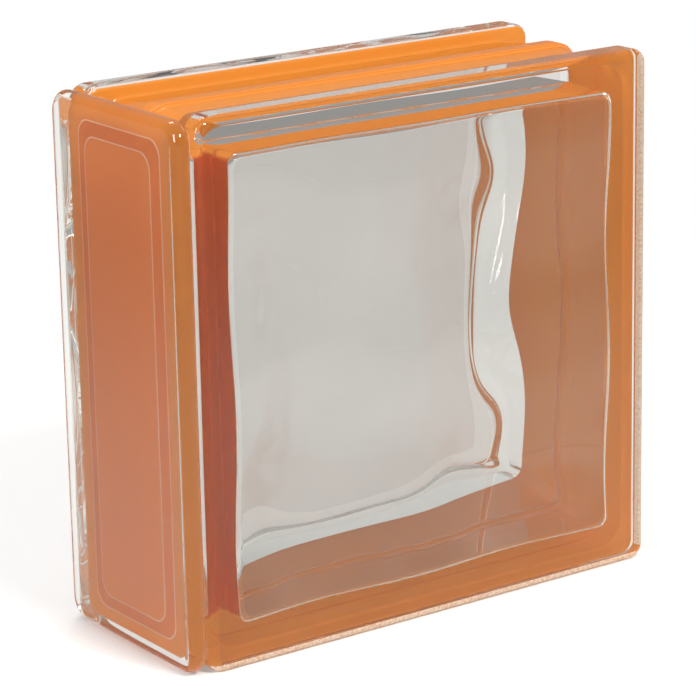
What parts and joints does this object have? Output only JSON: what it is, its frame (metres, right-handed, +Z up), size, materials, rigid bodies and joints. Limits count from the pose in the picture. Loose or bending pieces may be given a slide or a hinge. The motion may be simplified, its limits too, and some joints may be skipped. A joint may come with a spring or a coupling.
{
  "type": "glass block",
  "caption": "Hollow pressed-glass wall block with wavy clear panes, a mortar channel between its rims, an orange coat in the channel and a clear cover plate on one end.",
  "frame": {"origin": "middle of the block's footprint, on the surface it stands on", "axes": "+Z up, +Y from the front pane to the back pane, -X towards the covered end"},
  "size_m": [0.1976, 0.08, 0.19],
  "materials": {
    "coated_glass": "clear pressed glass with glossy panes, rims and cover plate, and a fired translucent orange coat in the channel and behind the cover plate"
  },
  "bodies": {
    "root": {"glass_block": "coated_glass"}
  },
  "joints": []
}
